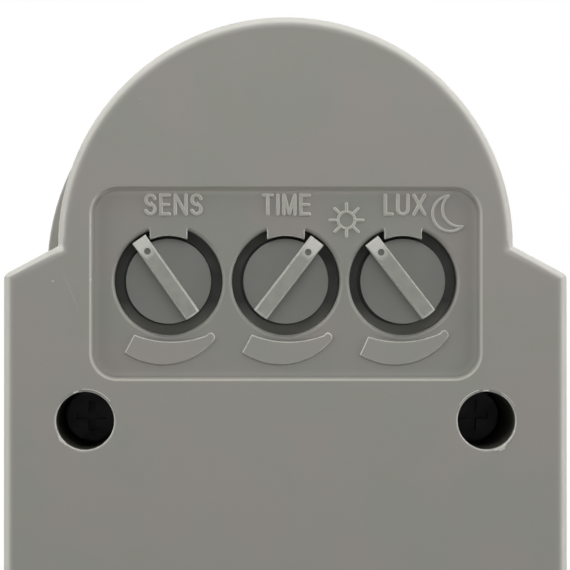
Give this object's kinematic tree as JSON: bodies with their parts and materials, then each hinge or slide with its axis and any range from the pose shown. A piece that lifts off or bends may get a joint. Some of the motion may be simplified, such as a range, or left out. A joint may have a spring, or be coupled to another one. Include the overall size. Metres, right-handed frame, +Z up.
{
  "type": "motion sensor switch",
  "caption": "Outside wall motion sensor switch: casing on a wall tray, half-round head with a lens under a hood, and adjusting dials sunk in the underside.",
  "frame": {"origin": "middle of the wall tray's back face, on the plane that lies on the wall", "axes": "+Y into the wall, +Z up, so the dials are in the underside and the lens faces -Y"},
  "size_m": [0.072, 0.0814, 0.094],
  "materials": {
    "casing": "fine moulded grain",
    "black_rubber": "matt",
    "block_plastic": "plain",
    "brass": "drawn",
    "zinc_steel": "zinc plated",
    "lead_insulation": "smooth",
    "lens": "milky, with a prism pattern inside",
    "circuit_board": "lacquered",
    "black_plastic": "plain",
    "sensor_can": "drawn",
    "sensor_window": "polished",
    "photocell": "coated",
    "red_led": "clear tinted",
    "relay_case": "smooth",
    "film_case": "smooth",
    "capacitor_sleeve": "shrunk sleeve",
    "varistor_coat": "dipped",
    "fuse_body": "glazed",
    "black_steel": "blackened",
    "potentiometer_case": "plain",
    "rotor_plastic": "plain",
    "dial": "fine moulded grain"
  },
  "bodies": {
    "housing": {"wall_base": "casing", "lower_housing": "casing", "upper_housing": "casing", "cable_grommet": "black_rubber", "terminal_block": "block_plastic", "terminal_clamps": "brass", "terminal_screws": "zinc_steel", "lead_wires": "lead_insulation", "lens": "lens", "main_board": "circuit_board", "sensor_board": "circuit_board", "pin_header": "black_plastic", "pir_sensor": "sensor_can", "pir_window": "sensor_window", "photocell": "photocell", "indicator_led": "red_led", "relay": "relay_case", "film_capacitor": "film_case", "filter_capacitor": "capacitor_sleeve", "small_capacitor": "capacitor_sleeve", "varistor": "varistor_coat", "fuse": "fuse_body", "timer_chip": "black_plastic", "housing_screws": "black_steel", "board_screws": "zinc_steel", "sens_potentiometer": "potentiometer_case", "time_potentiometer": "potentiometer_case", "lux_potentiometer": "potentiometer_case"},
    "sens_dial": {"sens_knob": "dial", "sens_shaft": "rotor_plastic", "sens_seal": "black_rubber"},
    "time_dial": {"time_knob": "dial", "time_shaft": "rotor_plastic", "time_seal": "black_rubber"},
    "lux_dial": {"lux_knob": "dial", "lux_shaft": "rotor_plastic", "lux_seal": "black_rubber"}
  },
  "joints": [
    {"name": "sens_turn", "type": "hinge", "parent": "housing", "child": "sens_dial", "pos_m": [-0.015, -0.0463, -0.045], "axis": [0, 0, -1], "range_deg": [0, 289]},
    {"name": "time_turn", "type": "hinge", "parent": "housing", "child": "time_dial", "pos_m": [0, -0.0463, -0.045], "axis": [0, 0, -1], "range_deg": [-287, 2]},
    {"name": "lux_turn", "type": "hinge", "parent": "housing", "child": "lux_dial", "pos_m": [0.015, -0.0463, -0.045], "axis": [0, 0, -1], "range_deg": [-2, 286]}
  ]
}
